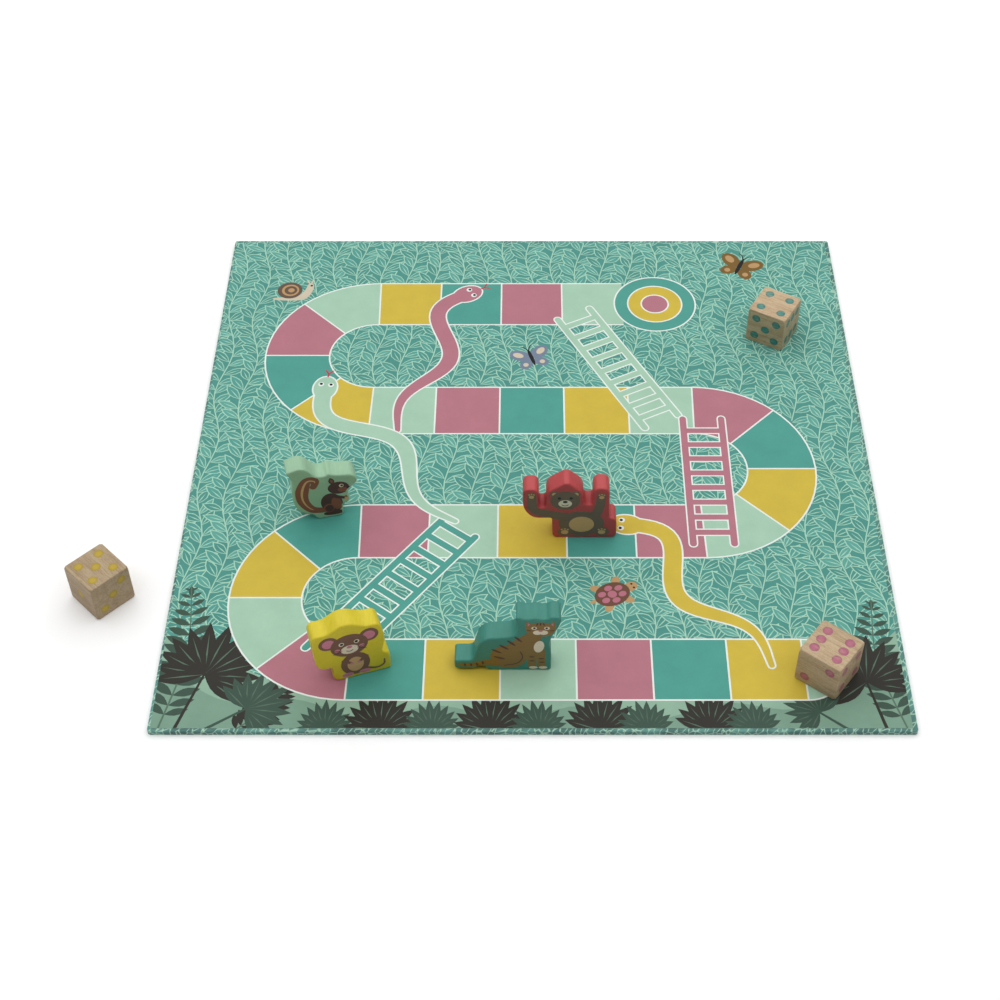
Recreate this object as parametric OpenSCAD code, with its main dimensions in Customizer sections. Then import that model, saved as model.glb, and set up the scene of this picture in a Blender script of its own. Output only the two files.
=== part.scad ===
// Snakes and ladders game set: a rigid square board with a printed face, four painted wooden
// playing pieces standing on it, two wooden dice on it and a third die beside it.
// Lengths are in millimetres. The origin is the centre of the board's underside. +Z is up,
// +X is to the player's right and +Y runs away from the player.

/* [Board] */
// Side of the square board
board_side = 325; // [240:1:420]
// Thickness of the grey board core
core_thick = 2.2; // [1.2:0.1:4]
// Thickness of the cover paper
cover_thick = 0.2; // [0.1:0.05:0.4]
// Thickness of the printed face sheet
face_thick = 0.2; // [0.1:0.05:0.4]
// Width of the cover paper turned in over the top of the core
turn_in = 15; // [8:0.5:25]
// Radius of the board's corners, seen from above
corner_radius = 1.2; // [1:0.1:5]
// Strip of cover paper left showing round the face sheet
face_margin = 1.6; // [1:0.1:5]
// How far left of centre the face sheet is laid
face_offset = 0.5; // [0:0.1:0.9]

/* [Playing pieces] */
// Thickness of the wood of every piece
piece_thick = 9.6; // [6:0.2:14]
// Height of the mint piece, with a bushy tail
mint_height = 35.3; // [26:0.1:46]
// Height of the red piece, with raised arms
red_height = 36.2; // [26:0.1:46]
// Height of the yellow piece, with round ears
yellow_height = 36.3; // [26:0.1:46]
// Height of the teal piece, with a low tail
teal_height = 35.9; // [26:0.1:46]

/* [Dice] */
// Edge of each die
die_edge = 20.3; // [16:0.1:26]
// Rounding of the edges of each die
die_rounding = 0.5; // [0.3:0.1:2]
// How far the tip of each corner of a die is taken down
die_corner_cut = 0.8; // [0.6:0.1:2]
// Diameter of a pip
pip_diameter = 4.5; // [2:0.1:5]
// Depth to which the colour of a pip goes into the wood
pip_depth = 0.3; // [0.1:0.05:0.6]
// Gap between the board and the die that lies beside it
side_die_gap = 16.7; // [2:0.1:40]

/* [Hidden] */

// Facets of round edges
round_facets = 48;
// Facets of the ball that blunts the corners of a die
ball_facets = 96;
// Straight steps in the curve that rounds one corner of a piece
corner_steps = 7;
// Most of a side that the curve at one of its ends may take
side_limit_share = 0.48;
// Overrun of every cut
overrun = 0.5;
// Room between a pip and its pocket in the wood
pip_clearance = 0.02;
// Distance of the outer pips from the middle of a face
pip_reach_share = 0.27;
pip_reach = die_edge * pip_reach_share;

// Heights of the layers of the board
wrap_top = cover_thick + core_thick;
board_top = wrap_top + face_thick;

// Places of the middle of each front base line, as shares of half the board, and turns in degrees
mint_place_shares = [-0.586, -0.256];
mint_turn = 13;
red_place_shares = [0.147, -0.333];
red_turn = 0;
yellow_place_shares = [-0.442, -0.815];
yellow_turn = 18;
teal_place_shares = [-0.038, -0.803];
teal_turn = 0;

// Places of the middles of the dice, as shares of half the board, turns, and the counts that
// show on the top, front and right faces
teal_die_place_shares = [0.765, 0.534];
teal_die_turn = -30;
teal_die_shows = [4, 5, 6];
pink_die_place_shares = [0.782, -0.816];
pink_die_turn = -37.7;
pink_die_shows = [6, 2, 4];
yellow_die_back_share = -0.535;
yellow_die_turn = -45;
yellow_die_shows = [5, 1, 3];

// Places of the dice in millimetres, on the board or on the table beside it
die_half_diagonal = die_edge / sqrt(2);
teal_die_place = [each teal_die_place_shares * board_side / 2, board_top];
pink_die_place = [each pink_die_place_shares * board_side / 2, board_top];
yellow_die_place = [
    -board_side / 2 - side_die_gap - die_half_diagonal,
    yellow_die_back_share * board_side / 2,
    0
];

// Turns that carry a face drawn on the top of a die to each of its sides:
// top, front, right, back, left and underside
face_turns = [[0, 0, 90], [90, 0, 0], [90, 0, 90], [90, 0, 180], [90, 0, 270], [180, 0, 0]];

// Corners of each piece seen from the front, clockwise from the left end of its base:
// across, up and rounding, all as shares of the piece's height
mint_outline_shares = [
    [-0.150, 0.000, 0.040],
    [-0.185, 0.085, 0.030],
    [-0.370, 0.175, 0.110],
    [-0.445, 0.390, 0.140],
    [-0.410, 0.780, 0.080],
    [-0.480, 0.945, 0.020],
    [-0.255, 1.010, 0.120],
    [-0.105, 0.795, 0.090],
    [0.010, 0.785, 0.045],
    [0.060, 0.820, 0.020],
    [0.140, 0.780, 0.045],
    [0.390, 0.740, 0.070],
    [0.440, 0.605, 0.070],
    [0.270, 0.445, 0.040],
    [0.315, 0.300, 0.055],
    [0.270, 0.225, 0.040],
    [0.210, 0.220, 0.025],
    [0.205, 0.000, 0.070]
];
red_outline_shares = [
    [-0.402, 0.000, 0.070],
    [-0.412, 0.368, 0.040],
    [-0.655, 0.364, 0.090],
    [-0.778, 0.535, 0.120],
    [-0.782, 0.898, 0.110],
    [-0.575, 0.898, 0.110],
    [-0.585, 0.560, 0.070],
    [-0.485, 0.560, 0.070],
    [-0.490, 0.840, 0.110],
    [-0.230, 1.026, 0.060],
    [-0.020, 0.838, 0.110],
    [-0.012, 0.612, 0.060],
    [0.100, 0.612, 0.050],
    [0.098, 0.918, 0.105],
    [0.305, 0.918, 0.105],
    [0.315, 0.368, 0.030],
    [0.408, 0.350, 0.090],
    [0.415, 0.000, 0.080]
];
yellow_outline_shares = [
    [-0.400, 0.000, 0.110],
    [-0.390, 0.260, 0.040],
    [-0.575, 0.285, 0.150],
    [-0.605, 0.900, 0.130],
    [-0.415, 0.890, 0.050],
    [-0.190, 1.030, 0.190],
    [0.055, 0.885, 0.060],
    [0.225, 0.885, 0.110],
    [0.270, 0.580, 0.100],
    [0.215, 0.350, 0.040],
    [0.310, 0.295, 0.075],
    [0.310, 0.000, 0.040]
];
teal_outline_shares = [
    [-0.370, 0.000, 0.030],
    [-0.400, 0.070, 0.025],
    [-0.492, 0.070, 0.022],
    [-0.512, 0.026, 0.018],
    [-0.766, 0.026, 0.060],
    [-0.766, 0.190, 0.045],
    [-0.545, 0.190, 0.070],
    [-0.445, 0.605, 0.150],
    [-0.075, 0.635, 0.090],
    [0.006, 0.730, 0.050],
    [-0.028, 1.012, 0.055],
    [0.112, 0.962, 0.050],
    [0.205, 0.992, 0.040],
    [0.312, 0.956, 0.040],
    [0.400, 1.012, 0.040],
    [0.512, 0.990, 0.060],
    [0.492, 0.850, 0.060],
    [0.360, 0.540, 0.110],
    [0.395, 0.330, 0.100],
    [0.393, 0.000, 0.040]
];

// Points of the curve that rounds the corner at b, between a and c, from reach before it to reach past it
function corner_curve(a, b, c, reach) =
    let (
        before = min(reach, side_limit_share * norm(a - b)),
        past = min(reach, side_limit_share * norm(c - b)),
        start = b + (a - b) / norm(a - b) * before,
        finish = b + (c - b) / norm(c - b) * past
    )
    [
        for (i = [0:corner_steps])
            let (s = i / corner_steps)
            (1 - s) * (1 - s) * start + 2 * s * (1 - s) * b + s * s * finish
    ];

// Rounded outline of a piece in millimetres, from its table of corners
function rounded_outline(shares, height) =
    let (
        count = len(shares),
        corners = [for (row = shares) [row[0], row[1]] * height]
    )
    [
        for (i = [0:count - 1])
            each corner_curve(
                corners[(i + count - 1) % count],
                corners[i],
                corners[(i + 1) % count],
                shares[i][2] * height
            )
    ];

// Places of the pips for a count, as shares of the reach of the outer pips
function pip_place_shares(count) =
    concat(
        count % 2 == 1 ? [[0, 0]] : [],
        count > 1 ? [[-1, -1], [1, 1]] : [],
        count > 3 ? [[-1, 1], [1, -1]] : [],
        count == 6 ? [[0, -1], [0, 1]] : []
    );

// Counts on all six faces, where opposite faces add up to seven
function face_counts(shows) =
    [shows[0], shows[1], shows[2], 7 - shows[1], 7 - shows[2], 7 - shows[0]];

// Square with round corners, centred on the origin
module rounded_square(side, radius) {
    square([side - 2 * radius, side], center = true);
    square([side, side - 2 * radius], center = true);
    for (x = [-1, 1], y = [-1, 1])
        translate([x, y] * (side / 2 - radius))
            circle(r = radius, $fn = round_facets);
}

// Grey board panel, pressed down round its top edge by the turned-in paper
module core_solid() {
    translate([0, 0, cover_thick])
        linear_extrude(height = core_thick - cover_thick)
            rounded_square(board_side - 2 * cover_thick, corner_radius - cover_thick);
    translate([0, 0, cover_thick])
        linear_extrude(height = core_thick)
            square(board_side - 2 * turn_in, center = true);
}

module greyboard_core() {
    color([0.62, 0.60, 0.57])
        core_solid();
}

// One sheet over the underside, up the four edges and over the rim of the top
module cover_wrap() {
    color([0.36, 0.62, 0.57])
        difference() {
            linear_extrude(height = wrap_top)
                rounded_square(board_side, corner_radius);
            core_solid();
        }
}

// Printed sheet, laid a little inside the edge and a little left of centre
module face_sheet() {
    color([0.45, 0.68, 0.62])
        translate([-face_offset, 0, wrap_top])
            linear_extrude(height = face_thick)
                square(board_side - 2 * face_margin, center = true);
}

// Wooden block with the given outline, its front face turned towards the player
module wood_block(outline_shares, height, place_shares, turn) {
    translate([each place_shares * board_side / 2, board_top])
        rotate([90, 0, turn])
            translate([0, 0, -piece_thick])
                linear_extrude(height = piece_thick)
                    polygon(rounded_outline(outline_shares, height));
}

module mint_piece() {
    color([0.58, 0.76, 0.65])
        wood_block(mint_outline_shares, mint_height, mint_place_shares, mint_turn);
}

module red_piece() {
    color([0.70, 0.33, 0.34])
        wood_block(red_outline_shares, red_height, red_place_shares, red_turn);
}

module yellow_piece() {
    color([0.82, 0.77, 0.24])
        wood_block(yellow_outline_shares, yellow_height, yellow_place_shares, yellow_turn);
}

module teal_piece() {
    color([0.31, 0.60, 0.55])
        wood_block(teal_outline_shares, teal_height, teal_place_shares, teal_turn);
}

// Stand a die, drawn about its middle, on its place
module stand_die(place, turn) {
    translate(place)
        rotate([0, 0, turn])
            translate([0, 0, die_edge / 2])
                children();
}

// Cube with all its edges rounded and its corners blunted by a ball, centred on the origin
module rounded_cube() {
    intersection() {
        sphere(r = die_edge * sqrt(3) / 2 - die_corner_cut, $fn = ball_facets);
        intersection_for (axis = [[0, 0, 0], [90, 0, 0], [0, 90, 0]])
            rotate(axis)
                linear_extrude(height = die_edge, center = true)
                    rounded_square(die_edge, die_rounding);
    }
}

// Round shapes at every pip of a die, from the depth of the colour upwards
module pip_shapes(shows, radius, height) {
    counts = face_counts(shows);
    for (i = [0:len(counts) - 1])
        rotate(face_turns[i])
            for (place = pip_place_shares(counts[i]))
                translate([each place * pip_reach, die_edge / 2 - pip_depth])
                    cylinder(r = radius, h = height, $fn = round_facets);
}

module die_wood(shows) {
    color([0.80, 0.69, 0.53])
        difference() {
            rounded_cube();
            pip_shapes(shows, pip_diameter / 2, pip_depth + overrun);
        }
}

module die_pips(shows) {
    pip_shapes(shows, pip_diameter / 2 - pip_clearance, pip_depth);
}

module teal_die() {
    stand_die(teal_die_place, teal_die_turn)
        die_wood(teal_die_shows);
}

module teal_die_pips() {
    color([0.33, 0.58, 0.57])
        stand_die(teal_die_place, teal_die_turn)
            die_pips(teal_die_shows);
}

module pink_die() {
    stand_die(pink_die_place, pink_die_turn)
        die_wood(pink_die_shows);
}

module pink_die_pips() {
    color([0.74, 0.42, 0.47])
        stand_die(pink_die_place, pink_die_turn)
            die_pips(pink_die_shows);
}

module yellow_die() {
    stand_die(yellow_die_place, yellow_die_turn)
        die_wood(yellow_die_shows);
}

module yellow_die_pips() {
    color([0.80, 0.69, 0.22])
        stand_die(yellow_die_place, yellow_die_turn)
            die_pips(yellow_die_shows);
}

greyboard_core();
cover_wrap();
face_sheet();
mint_piece();
red_piece();
yellow_piece();
teal_piece();
teal_die();
teal_die_pips();
pink_die();
pink_die_pips();
yellow_die();
yellow_die_pips();
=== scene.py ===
"""Snakes and ladders game set: a printed board, painted wooden playing pieces and wooden dice."""

import math
import random

import bmesh
import bpy
from mathutils import Euler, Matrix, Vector, geometry


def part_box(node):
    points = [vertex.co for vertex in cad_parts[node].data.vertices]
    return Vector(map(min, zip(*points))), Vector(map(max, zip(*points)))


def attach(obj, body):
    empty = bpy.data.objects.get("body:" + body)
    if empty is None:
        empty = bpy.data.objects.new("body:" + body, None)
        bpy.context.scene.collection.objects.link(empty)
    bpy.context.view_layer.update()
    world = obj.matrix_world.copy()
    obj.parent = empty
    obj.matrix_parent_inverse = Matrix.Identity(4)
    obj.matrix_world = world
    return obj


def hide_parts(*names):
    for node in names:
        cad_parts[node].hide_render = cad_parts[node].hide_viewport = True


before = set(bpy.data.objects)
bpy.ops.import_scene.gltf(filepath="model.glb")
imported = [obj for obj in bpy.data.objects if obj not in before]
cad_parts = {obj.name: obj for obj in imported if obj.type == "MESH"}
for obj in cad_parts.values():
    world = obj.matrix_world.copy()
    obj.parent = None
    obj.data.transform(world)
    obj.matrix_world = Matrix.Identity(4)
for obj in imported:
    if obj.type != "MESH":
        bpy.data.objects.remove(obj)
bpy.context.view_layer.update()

# Drawings are in millimetres, objects in metres
MM = 0.001

# Camera, fitted to the edges of the board in a picture 1000 pixels wide
PICTURE_WIDTH_PX = 1000
FOCAL_LENGTH_PX = 1711
AXIS_RIGHT_OF_CENTRE_PX = 27.9
CAMERA_PLACE_MM = (-2.0, -577.1, 599.3)
CAMERA_PITCH_DEG = 47.51
SENSOR_WIDTH_MM = 36
CAMERA_NEAR_LIMIT_MM = 10

# The stage, in metres, and its light
TABLE_SIDE = 2.2
SURROUND_RADIUS = 12.0
SKY_STRENGTH = 0.08
PANEL_PLACE = (-0.1, 1.2, 2.1)
PANEL_TARGET = (-0.1, 1.2, 0)
PANEL_SIDE = 6.0
PANEL_POWER_W = 172.0

# Printing inks, as display colours from 0 to 255
INKS = {
    "paper_white": (222, 228, 222),
    "leaf_ground": (72, 140, 130),
    "leaf_mid": (80, 150, 140),
    "leaf_light": (90, 158, 146),
    "leaf_line": (158, 200, 178),
    "band_mint": (138, 172, 150),
    "hill_mint": (118, 152, 132),
    "plant_green": (58, 80, 68),
    "plant_dark": (46, 44, 38),
    "plant_rib": (84, 110, 92),
    "track_pink": (172, 112, 124),
    "track_mustard": (198, 174, 62),
    "track_mint": (158, 194, 170),
    "track_teal": (74, 150, 138),
    "tongue_red": (178, 56, 78),
    "ink_black": (26, 22, 22),
    "maroon": (66, 34, 32),
    "rust": (114, 64, 46),
    "ochre": (116, 88, 40),
    "tan": (178, 142, 96),
    "bark_brown": (96, 78, 66),
    "cocoa": (104, 70, 54),
    "rose": (176, 106, 122),
    "slate": (110, 124, 144),
    "cream": (198, 186, 164),
}

# Paint of the four playing pieces, as display colours from 0 to 255
PAINTS = {
    "mint_piece": (149, 187, 155),
    "red_piece": (182, 74, 76),
    "yellow_piece": (212, 194, 46),
    "teal_piece": (62, 132, 118),
}

# Stain of the pips, how far each die is turned about the vertical, in degrees, and a factor on its wood's
# colour: painted shade below 1 on a die that the stage lights more, painted light above 1 on one that it
# lights less
DICE = {
    "teal_die": ((47, 129, 122), -30.0, 1.06),
    "pink_die": ((170, 92, 116), -37.7, 1.0),
    "yellow_die": ((178, 151, 6), -45.0, 0.82),
}

# Name of the mesh attribute that holds where a corner is from the middle of its pip, in pip radii
PIP_PLACE = "pip_place"

# Corners this close to each other, in millimetres, are welded, and closer ones are one in a drawing
WELD_REACH = 0.002
DRAWING_REACH = 0.0005


def linear(colour):
    """Display colour from 0 to 255 as the linear colour that shaders take."""
    shares = [channel / 255 for channel in colour]
    return [c / 12.92 if c <= 0.04045 else ((c + 0.055) / 1.055) ** 2.4 for c in shares]


def tone(colour, factor):
    """Linear colour, made lighter or darker, with full opacity."""
    return [min(1.0, c * factor) for c in linear(colour)] + [1.0]


class Shader:
    """A node material with one Principled shader, and short ways to add nodes to it."""

    def __init__(self, name, roughness):
        self.material = bpy.data.materials.new(name)
        self.material.use_nodes = True
        self.tree = self.material.node_tree
        self.bsdf = self.tree.nodes["Principled BSDF"]
        self.bsdf.inputs["Roughness"].default_value = roughness

    def add(self, kind, **settings):
        node = self.tree.nodes.new(kind)
        for key, value in settings.items():
            setattr(node, key, value)
        return node

    def link(self, source, target):
        self.tree.links.new(source, target)

    def place(self, scale=(1, 1, 1), turn_deg=0.0):
        """Object coordinates, turned about the vertical and then stretched."""
        turned = self.add("ShaderNodeMapping")
        turned.inputs["Rotation"].default_value = (0, 0, math.radians(turn_deg))
        self.link(self.add("ShaderNodeTexCoord").outputs["Object"], turned.inputs["Vector"])
        stretched = self.add("ShaderNodeMapping")
        stretched.inputs["Scale"].default_value = scale
        self.link(turned.outputs["Vector"], stretched.inputs["Vector"])
        return stretched.outputs["Vector"]

    def noise(self, where, scale, detail=3.0, roughness=0.5):
        node = self.add("ShaderNodeTexNoise")
        node.inputs["Scale"].default_value = scale
        node.inputs["Detail"].default_value = detail
        node.inputs["Roughness"].default_value = roughness
        self.link(where, node.inputs["Vector"])
        return node.outputs["Fac"]

    def ramp(self, factor, stops):
        node = self.add("ShaderNodeValToRGB")
        elements = node.color_ramp.elements
        while len(elements) < len(stops):
            elements.new(0.5)
        for element, (position, colour) in zip(elements, stops):
            element.position = position
            element.color = colour
        self.link(factor, node.inputs["Fac"])
        return node.outputs["Color"]

    def mix(self, factor, first, second, blend="MIX"):
        """Mix of two colours, each a socket or a fixed colour, and a fixed or linked factor."""
        node = self.add("ShaderNodeMix", data_type="RGBA", blend_type=blend)
        sockets = {"Factor": factor, "A": first, "B": second}
        for socket in node.inputs:
            if not socket.enabled or socket.name not in sockets:
                continue
            value = sockets[socket.name]
            if isinstance(value, bpy.types.NodeSocket):
                self.link(value, socket)
            else:
                socket.default_value = value
        return next(out for out in node.outputs if out.enabled)

    def colour(self, socket):
        self.link(socket, self.bsdf.inputs["Base Color"])

    def vary_roughness(self, factor, low, high):
        node = self.add("ShaderNodeMapRange")
        node.inputs["To Min"].default_value = low
        node.inputs["To Max"].default_value = high
        self.link(factor, node.inputs["Value"])
        self.link(node.outputs["Result"], self.bsdf.inputs["Roughness"])

    def bump(self, height, strength, distance_mm):
        node = self.add("ShaderNodeBump")
        node.inputs["Strength"].default_value = strength
        node.inputs["Distance"].default_value = distance_mm * MM
        self.link(height, node.inputs["Height"])
        self.link(node.outputs["Normal"], self.bsdf.inputs["Normal"])


def printed_paper(name, colour):
    """Satin printed paper: a little mottling in the ink, and fine fibres under it."""
    shader = Shader(name, 0.5)
    shader.bsdf.inputs["Specular IOR Level"].default_value = 0.2
    where = shader.place()
    mottle = shader.noise(where, 90.0, 5.0, 0.65)
    shader.colour(shader.ramp(mottle, [(0.3, tone(colour, 0.95)), (0.7, tone(colour, 1.05))]))
    fibres = shader.noise(where, 2600.0, 2.0)
    shader.vary_roughness(fibres, 0.5, 0.62)
    shader.bump(fibres, 0.12, 0.05)
    return shader.material


def printed_wood(name, colour):
    """Ink printed on the painted face of a piece, with faint grain under it."""
    shader = Shader(name, 0.42)
    grain = shader.noise(shader.place((60, 60, 900)), 3.0, 4.0, 0.6)
    shader.colour(shader.ramp(grain, [(0.3, tone(colour, 1.2)), (0.7, tone(colour, 1.44))]))
    shader.bump(grain, 0.1, 0.1)
    return shader.material


def painted_wood(name, colour):
    """Satin paint on wood: faint grain through the coat, brush mottling and rubbed patches."""
    shader = Shader(name, 0.4)
    shader.bsdf.inputs["Specular IOR Level"].default_value = 0.3
    grain = shader.noise(shader.place((700, 70, 700)), 2.0, 4.0, 0.6)
    mottle = shader.noise(shader.place(), 120.0, 4.0, 0.6)
    streaks = shader.ramp(grain, [(0.35, tone(colour, 0.9)), (0.68, tone(colour, 1.07))])
    patches = shader.ramp(mottle, [(0.3, tone(colour, 0.94)), (0.72, tone(colour, 1.06))])
    shader.colour(shader.mix(0.5, streaks, patches))
    shader.vary_roughness(mottle, 0.34, 0.5)
    shader.bump(grain, 0.16, 0.12)
    return shader.material


def wood_grain(shader, turn_deg, light):
    """Colour of pale wood with long fine streaks along one side of the die, and its height. Its tones
    carry the die's factor of painted light and shade.
    """
    streak = shader.noise(shader.place((70, 1500, 1500), -turn_deg), 1.0, 5.0, 0.62)
    pores = shader.noise(shader.place((800, 4400, 4400), -turn_deg), 1.0, 2.0, 0.5)
    figure = shader.noise(shader.place((45, 280, 280), -turn_deg), 1.0, 3.0, 0.6)
    # Every wood tone here is multiplied by the die's factor of painted light and shade
    wood = shader.ramp(
        streak,
        [
            (0.26, tone((155, 128, 94), light)),
            (0.44, tone((182, 159, 126), light)),
            (0.6, tone((192, 171, 140), light)),
            (0.8, tone((164, 136, 102), light)),
        ],
    )
    dark_pores = shader.ramp(pores, [(0.32, (0.6, 0.52, 0.44, 1)), (0.46, (1, 1, 1, 1))])
    bands = shader.ramp(figure, [(0.34, (0.74, 0.66, 0.58, 1)), (0.56, (1.05, 1.03, 1.0, 1))])
    banded = shader.mix(0.55, wood, bands, "MULTIPLY")
    return shader.mix(0.7, banded, dark_pores, "MULTIPLY"), streak


def bare_wood(name, turn_deg, light):
    """Sanded pale wood, with the die's factor of painted light and shade in its colour."""
    shader = Shader(name, 0.62)
    wood, height = wood_grain(shader, turn_deg, light)
    shader.colour(wood)
    shader.vary_roughness(height, 0.55, 0.72)
    shader.bump(height, 0.25, 0.15)
    return shader.material


def stained_wood(name, colour, turn_deg, light):
    """Colour soaked into the wood, darkest at the rim of each pip, with the grain showing through. The
    wood under it carries the die's factor of painted light and shade.
    """
    shader = Shader(name, 0.58)
    wood, height = wood_grain(shader, turn_deg, light)
    soak = shader.noise(shader.place((350, 800, 800), -turn_deg), 1.0, 4.0, 0.65)
    strength = shader.ramp(soak, [(0.36, (0.68, 0.68, 0.68, 1)), (0.58, (1, 1, 1, 1))])
    from_middle = shader.add("ShaderNodeVectorMath", operation="LENGTH")
    place = shader.add("ShaderNodeAttribute", attribute_name=PIP_PLACE)
    shader.link(place.outputs["Vector"], from_middle.inputs[0])
    fade = [(0.4, tone(colour, 1.04)), (0.9, tone(colour, 0.8))]
    stain = shader.ramp(from_middle.outputs["Value"], fade)
    shader.colour(shader.mix(strength, wood, stain))
    shader.bump(height, 0.2, 0.12)
    return shader.material


def cover_paper(name):
    """Patterned cover paper: long leaf-like cells with pale veins between them."""
    shader = Shader(name, 0.5)
    where = shader.place((1.0, 0.45, 0.7), 35)
    cells = shader.add("ShaderNodeTexVoronoi", feature="DISTANCE_TO_EDGE")
    cells.inputs["Scale"].default_value = 430.0
    shader.link(where, cells.inputs["Vector"])
    fill = shader.noise(where, 120.0, 3.0)
    leaf = shader.ramp(
        fill, [(0.38, tone(INKS["leaf_ground"], 0.52)), (0.62, tone(INKS["leaf_light"], 0.78))]
    )
    vein = shader.ramp(cells.outputs["Distance"], [(0.03, (1, 1, 1, 1)), (0.09, (0, 0, 0, 1))])
    shader.colour(shader.mix(vein, leaf, tone(INKS["leaf_line"], 0.92)))
    shader.bump(fill, 0.08, 0.05)
    return shader.material


def grey_board(name):
    """Recycled grey board with flecks."""
    shader = Shader(name, 0.85)
    flecks = shader.noise(shader.place(), 700.0, 4.0)
    shader.colour(
        shader.ramp(flecks, [(0.3, tone((128, 124, 118), 1)), (0.7, tone((176, 172, 164), 1))])
    )
    shader.bump(flecks, 0.3, 0.2)
    return shader.material


# Drawing with closed polygons

def rotated(point, angle):
    """Point turned about the origin by an angle in radians."""
    x, y = point
    return (x * math.cos(angle) - y * math.sin(angle), x * math.sin(angle) + y * math.cos(angle))


def ellipse(centre, across, up, turn_deg=0.0, steps=28):
    """Ellipse with these half sizes."""
    corners = []
    for i in range(steps):
        angle = 2 * math.pi * i / steps
        x, y = rotated((across * math.cos(angle), up * math.sin(angle)), math.radians(turn_deg))
        corners.append((centre[0] + x, centre[1] + y))
    return corners


def disc(centre, radius, steps=28):
    """Round spot."""
    return ellipse(centre, radius, radius, 0.0, steps)


def between(p, q, r, t, s):
    """Value at share s of the way from q to r, with p before them and t after (Catmull-Rom)."""
    bend = 2 * p - 5 * q + 4 * r - t
    twist = 3 * q - p - 3 * r + t
    return 0.5 * (2 * q + (r - p) * s + bend * s * s + twist * s * s * s)


def smooth(points, steps=8):
    """Curve through the points, as a list of close points."""
    ends = [points[0]] + list(points) + [points[-1]]
    curve = []
    for a, b, c, d in zip(ends, ends[1:], ends[2:], ends[3:]):
        for i in range(steps):
            curve.append(tuple(between(*places, i / steps) for places in zip(a, b, c, d)))
    curve.append(tuple(points[-1]))
    return curve


def beside(points, distances):
    """Points to the left and right of a line, at these distances from it."""
    left, right = [], []
    for i, ((x, y), distance) in enumerate(zip(points, distances)):
        before = points[max(i - 1, 0)]
        after = points[min(i + 1, len(points) - 1)]
        along = Vector((after[0] - before[0], after[1] - before[1])).normalized()
        left.append((x - along.y * distance, y + along.x * distance))
        right.append((x + along.y * distance, y - along.x * distance))
    return left, right


def ribbon(points, widths, cap_steps=6):
    """Stroke along the points with round ends. One width for all of it, or start, middle and end."""
    if isinstance(widths, (int, float)):
        widths = (widths, widths, widths)
    start, middle, end = widths
    half_widths = []
    for i in range(len(points)):
        s = i / (len(points) - 1)
        width = start + (middle - start) * 2 * s if s < 0.5 else middle + (end - middle) * (2 * s - 1)
        half_widths.append(width / 2)
    left, right = beside(points, half_widths)

    def cap(tip, inner, width):
        angle = math.atan2(tip[1] - inner[1], tip[0] - inner[0])
        turns = [angle - math.pi / 2 + math.pi * i / cap_steps for i in range(1, cap_steps)]
        return [ahead_of(tip, turn, width / 2) for turn in turns]

    return right + cap(points[-1], points[-2], end) + left[::-1] + cap(points[0], points[1], start)


def ahead_of(point, angle, distance):
    """Place at this distance from a point, in the direction of an angle in radians."""
    return (point[0] + distance * math.cos(angle), point[1] + distance * math.sin(angle))


def leaf(base, tip, width, steps=5):
    """Pointed leaf from its base to its tip."""
    along = Vector((tip[0] - base[0], tip[1] - base[1]))
    side = Vector((-along.y, along.x)).normalized() * width / 2
    bulge = [math.sin(math.pi * i / steps) for i in range(1, steps)]
    spine = [Vector(base) + along * (i / steps) for i in range(1, steps)]
    left = [tuple(p + side * b) for p, b in zip(spine, bulge)]
    right = [tuple(p - side * b) for p, b in zip(spine, bulge)]
    return [tuple(base)] + right + [tuple(tip)] + left[::-1]


def anticlockwise(polygon):
    """The polygon, in the order that the partition takes it."""
    area = sum(a[0] * b[1] - b[0] * a[1] for a, b in zip(polygon, polygon[1:] + polygon[:1]))
    return polygon if area > 0 else polygon[::-1]


def partition(outline, layers):
    """Points and triangles that tile the outline, and the ink of the topmost layer on each triangle."""
    points, faces = [], []
    for polygon in [outline] + [shape for _, shape in layers]:
        first = len(points)
        points.extend(Vector(corner) for corner in anticlockwise(list(polygon)))
        faces.append(list(range(first, len(points))))
    triangles_inside = 1
    found = geometry.delaunay_2d_cdt(points, [], faces, triangles_inside, DRAWING_REACH, True)
    corners, triangles, polygons_of_each = found[0], found[2], found[5]
    inks = [None] + [ink for ink, _ in layers]
    tiles = [(tri, inks[max(own)]) for tri, own in zip(triangles, polygons_of_each) if 0 in own]
    return corners, tiles


def new_piece(name, mesh_data, body, slot, *nodes):
    """Object from a finished bmesh, riding on its body in place of its CAD nodes."""
    mesh = bpy.data.meshes.new(name)
    mesh_data.to_mesh(mesh)
    mesh_data.free()
    piece = bpy.data.objects.new(name, mesh)
    bpy.context.scene.collection.objects.link(piece)
    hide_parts(*nodes)
    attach(piece, body)
    return piece


# The printed face of the board

SHEET_LOW, SHEET_HIGH = (Vector(corner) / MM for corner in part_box("face_sheet"))

# The track: four rows joined by half turns, from the right end of the nearest row to the farthest row
ROW_PLACES = (-130.0, -50.0, 30.0, 110.0)
TURN_PLACE = 80.0
TURN_RADIUS = (ROW_PLACES[1] - ROW_PLACES[0]) / 2
TRACK_HALF = 16.0
TRACK_LINE = 0.8
START_PLACE = 118.0
FINISH_PLACE = 48.0
FINISH_RADIUS = 21.0
FINISH_OVERLAP = 4.0
FINISH_RING_STEP = 0.34
CELLS_PER_TURN = 4
POINTS_PER_CELL = 8
TRACK_INKS = ("track_mustard", "track_teal", "track_pink", "track_mint")


def row(x_from, x_to, y, cells):
    """Points along a row, after the first one."""
    count = cells * POINTS_PER_CELL
    return [(x_from + (x_to - x_from) * (i + 1) / count, y) for i in range(count)]


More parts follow.
